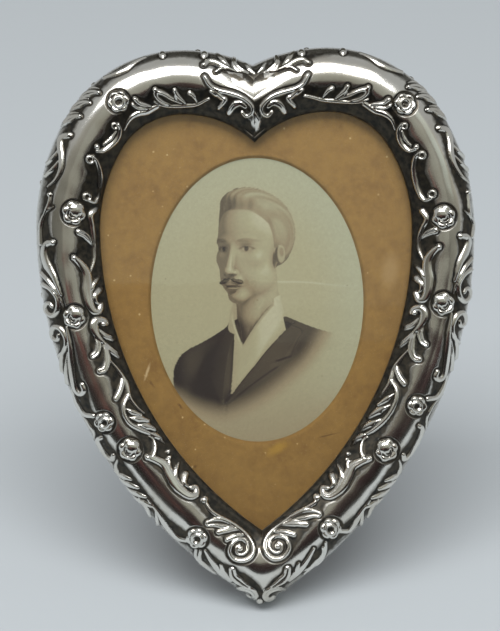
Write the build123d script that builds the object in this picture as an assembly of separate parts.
from build123d import *
import os
from math import acos, asin, cos, degrees, hypot, pi, radians, sin, sqrt

# A heart-shaped silver photograph frame that stands on a folding oak strut.
# Pieces are drawn lying flat: x to the right, y up the picture, z out towards the viewer.
# The heart's tip is at x = y = 0, and the back of the oak carcass is the plane z = 0.
# At the end everything is leaned back and stood on the floor, the plane z = 0 of the finished frame.

# Heart outline, seen square to the picture
HEART_WIDTH = 104.0
HEART_HEIGHT = 132.0
LOBE_RADIUS = 32.0
FLANK_SET = 3.0  # how far the lobe's circle stops short of the full width
FLANK_RISE = 10.6  # height of the lobe's centre above the widest place
NOTCH_RISE = 17.5  # height of the sight edge's notch above the crown's centre

# Silver front, a raised moulding in thin sheet
MOULDING_WIDTH = 15.3
RIDGE_INSET = 7.6  # from the outer edge to the ridge, also the radius of the outer slope
SKIRT_HEIGHT = 5.0  # straight wall round the carcass edge
SHEET = 0.45
LIP_DEPTH = 0.9  # turned-down sight edge
LIP_OVERLAP = 2.2  # how far the sight edge covers the glass
TIP_FLAT_DEPTH = 0.8  # filed off the lowest corner so that the tip rests flat

# Chased flowers along each half: share of the half outline from the tip, inset, radius
FLOWERS = (
    (0.121, 3.9, 2.2),
    (0.255, 5.7, 3.2),
    (0.318, 4.1, 2.2),
    (0.461, 6.3, 3.4),
    (0.592, 8.4, 3.4),
    (0.774, 7.9, 2.4),
)
PETALS = 5
PETAL_SHARE = 0.44  # petal radius as a share of the flower's radius
EYE_SHARE = 0.38  # radius of the flower's eye as a share of the flower's radius
FLOWER_SINK = 0.5  # how deep petals and eye are set, as a share of their own radius

# Picture pack, from the back
PANEL_THICKNESS = 3.0
BACKING_THICKNESS = 1.2
CARD_THICKNESS = 0.5
PRINT_THICKNESS = 0.2
MAT_THICKNESS = 1.0
GLASS_THICKNESS = 1.8
PACK_CLEARANCE = 0.3  # between the pack's edge and the rebate
PANEL_PROUD = 0.2  # how far the panel stands out behind the carcass
WINDOW_WIDTH = 50.3
WINDOW_HEIGHT = 67.2
WINDOW_CENTRE = 72.6  # height of the oval's centre above the tip
WINDOW_BEVEL = 0.6  # how much wider the oval is at the mat's face

# Oak carcass
CARCASS_CLEARANCE = 0.05  # between the skirt and the oak
CARCASS_SHOULDER = 4.4  # height of the oak's outer edge

# Pins through the silver skirt
PINS_PER_HALF = 7
PIN_RADIUS = 0.35
PIN_LENGTH = 4.5
PIN_HEAD_RADIUS = 0.75
PIN_HEAD_HEIGHT = 0.35
PIN_HEIGHT = 2.4
PIN_FIT = 0.02  # radial room round each pin and screw

# Turnbuttons
LOWER_BUTTON_SHARE = 0.33  # places along the half outline, as shares of its length from the tip
UPPER_BUTTON_SHARE = 0.80
BUTTON_INSET = 7.4
BUTTON_PIVOT_RADIUS = 3.2
BUTTON_NOSE_RADIUS = 2.2
BUTTON_REACH = 8.2  # from the pivot to the nose's centre
BUTTON_THICKNESS = 0.9
WASHER_RADIUS = 2.8
WASHER_THICKNESS = 0.3
SCREW_RADIUS = 1.0
SCREW_DEPTH = 4.5
SCREW_HEAD_RADIUS = 2.2
SCREW_HEAD_HEIGHT = 1.2
SCREW_SLOT = 0.5
BUTTON_FIT = 0.06  # radial and axial room in which a turnbutton turns

# Strut and its hinge
LEAN = 20.0
STRUT_OPENING = 28.0
HINGE_HEIGHT = 90.0  # above the tip, along the back
HINGE_WIDTH = 19.0
HINGE_STANDOFF = 1.3  # from the panel to the pin's axis
KNUCKLES = 5
KNUCKLE_RADIUS = 1.2
KNUCKLE_GAP = 0.15
HINGE_PIN_RADIUS = 0.6
HINGE_PIN_FIT = 0.04
LEAF_LENGTH = 11.0
LEAF_THICKNESS = 0.7
LEAF_SCREWS = 2
LEAF_SCREW_RADIUS = 0.7
LEAF_SCREW_HEAD_RADIUS = 1.35
LEAF_SCREW_DEPTH = 2.4
LEAF_SCREW_EDGE = 3.4  # from the leaf's free end to the screws
STRUT_THICKNESS = 4.0
STRUT_HEAD_WIDTH = 26.0
STRUT_FOOT_WIDTH = 19.0
STRUT_HEEL = 11.0  # length above the hinge
STRUT_EDGE = 0.6  # rounding of the strut's back edges
HEEL_CLEARANCE = 0.15  # left at the stop when the strut is open

# Heights in the pack
PANEL_BACK = -PANEL_PROUD
PANEL_FRONT = PANEL_BACK + PANEL_THICKNESS
CARD_BACK = PANEL_FRONT + BACKING_THICKNESS
PRINT_BACK = CARD_BACK + CARD_THICKNESS
MAT_BACK = PRINT_BACK + PRINT_THICKNESS
GLASS_BACK = MAT_BACK + MAT_THICKNESS
GLASS_FRONT = GLASS_BACK + GLASS_THICKNESS
REBATE_INSET = MOULDING_WIDTH - LIP_OVERLAP
PACK_INSET = REBATE_INSET + PACK_CLEARANCE

# Centres and radii of the arcs that draw the heart's right half
LOBE_X = HEART_WIDTH / 2 - LOBE_RADIUS - FLANK_SET
LOBE_Y = HEART_HEIGHT - LOBE_RADIUS
WIDEST_Y = LOBE_Y - FLANK_RISE
LOWER_RADIUS = HEART_WIDTH / 4 + WIDEST_Y**2 / HEART_WIDTH
FLANK_RADIUS = LOBE_RADIUS + (FLANK_SET**2 + FLANK_RISE**2) / (2 * FLANK_SET)
FLANK_ANGLE = asin(FLANK_RISE / (FLANK_RADIUS - LOBE_RADIUS))
CROWN_RADIUS = MOULDING_WIDTH + hypot(LOBE_X, NOTCH_RISE)

# Silver section
RIDGE_TOP = SKIRT_HEIGHT + RIDGE_INSET
SIGHT_TOP = GLASS_FRONT + LIP_DEPTH
FALL_RUN = MOULDING_WIDTH - RIDGE_INSET
FALL_DROP = RIDGE_TOP - SIGHT_TOP
FALL_RADIUS = (FALL_RUN**2 + FALL_DROP**2) / (2 * FALL_DROP)

# The hinge's axis, behind the panel
AXIS_Z = PANEL_BACK - HINGE_STANDOFF
MARGIN = HEART_HEIGHT  # generous size for cutting blocks
MITRE_OVERRUN = radians(1)  # extra sweep past the mirror plane, cut off again


def half_outline(inset):
    """The right half's arcs from tip to notch: centre, radius, start angle and end angle."""
    lower = LOWER_RADIUS - inset
    crown = CROWN_RADIUS - inset
    tip_angle = -acos((LOWER_RADIUS - HEART_WIDTH / 2) / lower)
    notch_angle = acos(-LOBE_X / crown)
    return (
        (HEART_WIDTH / 2 - LOWER_RADIUS, WIDEST_Y, lower, tip_angle, 0),
        (HEART_WIDTH / 2 - FLANK_RADIUS, WIDEST_Y, FLANK_RADIUS - inset, 0, FLANK_ANGLE),
        (LOBE_X, LOBE_Y, LOBE_RADIUS - inset, FLANK_ANGLE, pi / 2),
        (LOBE_X, HEART_HEIGHT - CROWN_RADIUS, crown, pi / 2, notch_angle),
    )


def station(share, inset):
    """Point at a share of the half outline's length, and the angle of its outward normal."""
    arcs = half_outline(0)
    left = share * sum(radius * (end - start) for _, _, radius, start, end in arcs)
    for x, y, radius, start, end in arcs:
        angle = start + left / radius
        if angle <= end:
            break
        left -= radius * (end - start)
    return x + (radius - inset) * cos(angle), y + (radius - inset) * sin(angle), angle


def heart_face(inset):
    """Flat heart, set in from the frame's outline."""
    edges = []
    for x, y, radius, start, end in half_outline(inset):
        angles = (start, (start + end) / 2, end)
        points = [(x + radius * cos(angle), y + radius * sin(angle)) for angle in angles]
        edges.append(ThreePointArc(*points))
        edges.append(ThreePointArc(*[(-px, py) for px, py in points]))
    return make_face(edges)


def heart_plate(inset, bottom, thickness):
    return Pos(0, 0, bottom) * extrude(heart_face(inset), thickness)


def around_heart(section, deepest):
    """Carry a section round the heart: section(radius) is drawn at its distance from the arc's centre."""
    outer = half_outline(0)
    inner = half_outline(deepest)
    half = None
    for number, (x, y, radius, start, end) in enumerate(outer):
        if number == 0:
            start = min(start, inner[0][3]) - MITRE_OVERRUN
        if number == len(outer) - 1:
            end = max(end, inner[-1][4]) + MITRE_OVERRUN
        radial = (cos(start), sin(start), 0)
        plane = Plane(origin=(x, y, 0), x_dir=radial, z_dir=(sin(start), -cos(start), 0))
        sector = revolve(plane * section(radius), Axis((x, y, 0), (0, 0, 1)), degrees(end - start))
        half = sector if half is None else half + sector
    right_side = Pos(MARGIN, 0, 0) * Box(2 * MARGIN, 4 * MARGIN, 4 * MARGIN)
    half = half & right_side
    return half + mirror(half, about=Plane.YZ)


def silver_section(radius):
    """The moulding's sheet: skirt, outer slope, ridge, inner slope and turned-down lip."""
    ridge = radius - RIDGE_INSET
    sight = radius - MOULDING_WIDTH
    fall_y = RIDGE_TOP - FALL_RADIUS
    edges = []
    for depth in (0, SHEET):
        rise_radius = RIDGE_INSET - depth
        fall_radius = FALL_RADIUS - depth
        turn = asin((FALL_RUN - depth) / fall_radius)
        rise_mid = rise_radius * sqrt(0.5)
        crest = (ridge, RIDGE_TOP - depth)
        edge = (ridge - fall_radius * sin(turn), fall_y + fall_radius * cos(turn))
        mid = (ridge - fall_radius * sin(turn / 2), fall_y + fall_radius * cos(turn / 2))
        edges.append(Line((radius - depth, 0), (radius - depth, SKIRT_HEIGHT)))
        edges.append(
            ThreePointArc(
                (radius - depth, SKIRT_HEIGHT),
                (ridge + rise_mid, SKIRT_HEIGHT + rise_mid),
                crest,
            )
        )
        edges.append(ThreePointArc(crest, mid, edge))
        edges.append(Line(edge, (sight + depth, GLASS_FRONT)))
    edges.append(Line((radius, 0), (radius - SHEET, 0)))
    edges.append(Line((sight, GLASS_FRONT), (sight + SHEET, GLASS_FRONT)))
    return make_face(edges)


def carcass_section(radius):
    """Oak ring with a sloping front shoulder under the silver."""
    outside = radius - SHEET - CARCASS_CLEARANCE
    slope = GLASS_FRONT - CARCASS_SHOULDER
    rebate = radius - REBATE_INSET
    corners = (
        (outside, 0),
        (outside, CARCASS_SHOULDER),
        (outside - slope, GLASS_FRONT),
        (rebate, GLASS_FRONT),
        (rebate, 0),
    )
    return make_face(Polyline(*corners, close=True))


def both_sides(shape):
    return [shape, mirror(shape, about=Plane.YZ)]


def surface_plane(share, inset):
    """Plane that lies on the silver's outside at a place on the moulding."""
    x, y, angle = station(share, inset)
    if inset < RIDGE_INSET:
        tilt = asin((RIDGE_INSET - inset) / RIDGE_INSET)
        height = SKIRT_HEIGHT + RIDGE_INSET * cos(tilt)
    else:
        tilt = -asin((inset - RIDGE_INSET) / FALL_RADIUS)
        height = RIDGE_TOP - FALL_RADIUS * (1 - cos(tilt))
    normal = (sin(tilt) * cos(angle), sin(tilt) * sin(angle), cos(tilt))
    return Plane(origin=(x, y, height), x_dir=(-sin(angle), cos(angle), 0), z_dir=normal)


def chased_flower(share, inset, radius):
    """A ring of low petals round an eye, sunk in the moulding."""
    petal = PETAL_SHARE * radius
    eye = EYE_SHARE * radius
    lumps = [Pos(0, 0, -FLOWER_SINK * eye / 2) * Sphere(eye)]
    for number in range(PETALS):
        turn = 360 * number / PETALS
        lumps.append(Rot(0, 0, turn) * Pos(radius - petal, 0, -FLOWER_SINK * petal) * Sphere(petal))
    return [surface_plane(share, inset) * lump for lump in lumps]


def pin_planes():
    """Planes on the skirt at each pin, looking out along the outline's normal."""
    planes = []
    for number in range(PINS_PER_HALF):
        x, y, angle = station((number + 0.5) / PINS_PER_HALF, 0)
        outward = (cos(angle), sin(angle), 0)
        planes.append(Plane(origin=(x, y, PIN_HEIGHT), x_dir=(0, 0, 1), z_dir=outward))
    return planes


def domed_head(radius, height):
    """Round screw or pin head, flat side down at z = 0."""
    ball = (radius**2 + height**2) / (2 * height)
    above = Pos(0, 0, ball) * Box(4 * ball, 4 * ball, 2 * ball)
    return Pos(0, 0, height - ball) * Sphere(ball) & above


def rod(radius, bottom, top):
    return Pos(0, 0, (bottom + top) / 2) * Cylinder(radius, top - bottom)


def silver_pin():
    return domed_head(PIN_HEAD_RADIUS, PIN_HEAD_HEIGHT) + rod(PIN_RADIUS, -PIN_LENGTH, 0)


def button_planes():
    """Planes on the carcass back at each turnbutton of the right half, x pointing at the panel."""
    planes = {}
    for height, share in (("lower", LOWER_BUTTON_SHARE), ("upper", UPPER_BUTTON_SHARE)):
        x, y, angle = station(share, BUTTON_INSET)
        inward = (-cos(angle), -sin(angle), 0)
        planes[height] = Plane(origin=(x, y, 0), x_dir=inward, z_dir=(0, 0, -1))
    return planes


def turnbutton():
    """Pear-shaped brass plate with its pivot hole at the origin."""
    pear = make_hull(
        Circle(BUTTON_PIVOT_RADIUS).edges() + (Pos(BUTTON_REACH, 0) * Circle(BUTTON_NOSE_RADIUS)).edges()
    )
    plate = extrude(pear - Circle(SCREW_RADIUS + BUTTON_FIT), BUTTON_THICKNESS)
    return Pos(0, 0, WASHER_THICKNESS) * plate


def washer():
    return extrude(Circle(WASHER_RADIUS) - Circle(SCREW_RADIUS + PIN_FIT), WASHER_THICKNESS)


def button_screw():
    seat = WASHER_THICKNESS + BUTTON_THICKNESS + BUTTON_FIT
    head = Pos(0, 0, seat) * domed_head(SCREW_HEAD_RADIUS, SCREW_HEAD_HEIGHT)
    slot = Pos(0, 0, seat + SCREW_HEAD_HEIGHT) * Box(SCREW_SLOT, 3 * SCREW_HEAD_RADIUS, SCREW_HEAD_HEIGHT)
    return head + rod(SCREW_RADIUS, -SCREW_DEPTH, seat) - slot


def hinge_frame():
    """Frame on the pin's axis: x along the pin, y up the back, z towards the panel."""
    return Pos(0, HINGE_HEIGHT, AXIS_Z)


def leaf_screw_places():
    spacing = HINGE_WIDTH / LEAF_SCREWS
    first = -HINGE_WIDTH / 2 + spacing / 2
    return [(first + spacing * number, LEAF_SCREW_EDGE - LEAF_LENGTH) for number in range(LEAF_SCREWS)]


def leaf_screw(room):
    """Countersunk screw whose flat head lies in the leaf, pointing along +z from the leaf's outer face."""
    slope = Cone(LEAF_SCREW_HEAD_RADIUS + room, LEAF_SCREW_RADIUS + room, LEAF_THICKNESS)
    shank = rod(LEAF_SCREW_RADIUS + room, 0, LEAF_SCREW_DEPTH)
    return Pos(0, 0, LEAF_THICKNESS / 2) * slope + shank


def leaf_screws(room):
    outer_face = HINGE_STANDOFF - LEAF_THICKNESS
    return [Pos(x, y, outer_face) * leaf_screw(room) for x, y in leaf_screw_places()]


def hinge_leaf(own_knuckles, bore):
    """Leaf against the face at z = HINGE_STANDOFF, with every other knuckle."""
    pitch = HINGE_WIDTH / KNUCKLES
    clear = KNUCKLE_RADIUS + KNUCKLE_GAP
    leaf_z = HINGE_STANDOFF - LEAF_THICKNESS / 2
    leaf = Pos(0, -(LEAF_LENGTH + clear) / 2, leaf_z) * Box(HINGE_WIDTH, LEAF_LENGTH - clear, LEAF_THICKNESS)
    for number in own_knuckles:
        x = (number + 0.5) * pitch - HINGE_WIDTH / 2
        width = pitch - KNUCKLE_GAP
        barrel = Pos(x, 0, 0) * Rot(0, 90, 0) * Cylinder(KNUCKLE_RADIUS, width)
        web_inside = HINGE_STANDOFF - LEAF_THICKNESS
        web = Pos(x, -clear / 2, (web_inside + KNUCKLE_RADIUS) / 2) * Box(
            width, clear, KNUCKLE_RADIUS - web_inside
        )
        leaf = leaf + barrel + web
    leaf = leaf - Rot(0, 90, 0) * Cylinder(bore, 2 * HINGE_WIDTH)
    for screw in leaf_screws(PIN_FIT):
        leaf = leaf - screw
    return leaf


def strut_plate():
    """Tapered tongue in the hinge's frame, folded flat, with its face at z = -HINGE_STANDOFF."""
    reach = HINGE_HEIGHT + STRUT_HEEL
    corners = (
        (-STRUT_HEAD_WIDTH / 2, STRUT_HEEL),
        (STRUT_HEAD_WIDTH / 2, STRUT_HEEL),
        (STRUT_FOOT_WIDTH / 2, -reach),
        (-STRUT_FOOT_WIDTH / 2, -reach),
    )
    plate = extrude(make_face(Polyline(*corners, close=True)), -STRUT_THICKNESS)
    plate = fillet(plate.faces().sort_by(Axis.Z)[0].edges(), STRUT_EDGE)
    plate = Pos(0, 0, -HINGE_STANDOFF) * plate
    for screw in leaf_screws(PIN_FIT):
        plate = plate - mirror(screw, about=Plane.XY)
    return plate


def stand_up(shape):
    """Lean a piece back and lower it so that the filed tip rests at z = 0."""
    return Pos(0, 0, -TIP_FLAT_DEPTH) * Rot(90 - LEAN, 0, 0) * shape


def above_floor(shape):
    return shape & Pos(0, 0, MARGIN) * Box(8 * MARGIN, 8 * MARGIN, 2 * MARGIN)


# Silver front with its flowers and pin holes
silver = around_heart(silver_section, MOULDING_WIDTH)
flower_lumps = []
for share, inset, radius in FLOWERS:
    for lump in chased_flower(share, inset, radius):
        flower_lumps += both_sides(lump)
silver = silver.fuse(*flower_lumps)
pins = []
pin_holes = []
for plane in pin_planes():
    pins += both_sides(plane * silver_pin())
    pin_holes += both_sides(plane * rod(PIN_RADIUS + PIN_FIT, -PIN_LENGTH, SHEET))
silver = silver.cut(*pin_holes)

# Oak carcass with its pin and screw holes
buttons = {}
screws = []
washers = []
screw_holes = []
for height, plane in button_planes().items():
    pairs = [both_sides(plane * piece) for piece in (turnbutton(), button_screw(), washer())]
    buttons[f"turnbutton_{height}_right"], buttons[f"turnbutton_{height}_left"] = pairs[0]
    screws += pairs[1]
    washers += pairs[2]
    screw_holes += both_sides(plane * rod(SCREW_RADIUS + PIN_FIT, -SCREW_DEPTH, 0))
carcass = around_heart(carcass_section, REBATE_INSET).cut(*pin_holes, *screw_holes)

# Picture pack
window_low = Pos(0, WINDOW_CENTRE, MAT_BACK) * Ellipse(WINDOW_WIDTH / 2, WINDOW_HEIGHT / 2)
window_high = Pos(0, WINDOW_CENTRE, GLASS_BACK) * Ellipse(
    WINDOW_WIDTH / 2 + WINDOW_BEVEL, WINDOW_HEIGHT / 2 + WINDOW_BEVEL
)
mat = heart_plate(PACK_INSET, MAT_BACK, MAT_THICKNESS) - loft([window_low, window_high])
panel = heart_plate(PACK_INSET, PANEL_BACK, PANEL_THICKNESS)
for screw in leaf_screws(PIN_FIT):
    panel = panel - hinge_frame() * screw

# Hinge and strut, the strut opened to its stop
odd_knuckles = range(0, KNUCKLES, 2)
even_knuckles = range(1, KNUCKLES, 2)
panel_leaf = hinge_frame() * hinge_leaf(odd_knuckles, HINGE_PIN_RADIUS + PIN_FIT)
hinge_pin = hinge_frame() * Rot(0, 90, 0) * Cylinder(HINGE_PIN_RADIUS, HINGE_WIDTH)
panel_screws = [hinge_frame() * screw for screw in leaf_screws(0)]
opened = hinge_frame() * Rot(STRUT_OPENING, 0, 0)
strut_leaf = opened * mirror(hinge_leaf(even_knuckles, HINGE_PIN_RADIUS + HINGE_PIN_FIT), about=Plane.XY)
strut_screws = [opened * mirror(screw, about=Plane.XY) for screw in leaf_screws(0)]
heel_stop = Pos(0, HINGE_HEIGHT + MARGIN, PANEL_BACK - HEEL_CLEARANCE + MARGIN) * Box(
    4 * MARGIN, 2 * MARGIN, 2 * MARGIN
)
strut = opened * strut_plate() - heel_stop

standing = {
    "silver_front": above_floor(stand_up(silver)),
    "silver_pins": stand_up(Compound(pins)),
    "oak_carcass": above_floor(stand_up(carcass)),
    "glass_pane": stand_up(heart_plate(PACK_INSET, GLASS_BACK, GLASS_THICKNESS)),
    "mat_board": stand_up(mat),
    "portrait_print": stand_up(heart_plate(PACK_INSET, PRINT_BACK, PRINT_THICKNESS)),
    "print_card": stand_up(heart_plate(PACK_INSET, CARD_BACK, CARD_THICKNESS)),
    "backing_card": stand_up(heart_plate(PACK_INSET, PANEL_FRONT, BACKING_THICKNESS)),
    "back_panel": stand_up(panel),
    "turnbutton_washers": stand_up(Compound(washers)),
    "turnbutton_screws": stand_up(Compound(screws)),
    "hinge_panel_leaf": stand_up(panel_leaf),
    "hinge_strut_leaf": stand_up(strut_leaf),
    "hinge_pin": stand_up(hinge_pin),
    "hinge_panel_screws": stand_up(Compound(panel_screws)),
    "hinge_strut_screws": stand_up(Compound(strut_screws)),
    "strut": above_floor(stand_up(strut)),
}
standing.update({name: stand_up(button) for name, button in buttons.items()})

# The finished frame's origin is the middle of its footprint, on the floor
boxes = [shape.bounding_box() for shape in standing.values()]
middle = (min(box.min.Y for box in boxes) + max(box.max.Y for box in boxes)) / 2
os.makedirs("parts", exist_ok=True)
for name, shape in standing.items():
    export_step(Pos(0, -middle, 0) * shape, f"parts/{name}.step")
axis_place = stand_up(hinge_frame() * Vertex(0, 0, 0)).center()
print("strut axis", round(axis_place.Y - middle, 4), round(axis_place.Z, 4))
for height, plane in button_planes().items():
    place = stand_up(Vertex(*plane.origin)).center()
    print(height, "button", [round(value, 4) for value in (place.X, place.Y - middle, place.Z)])
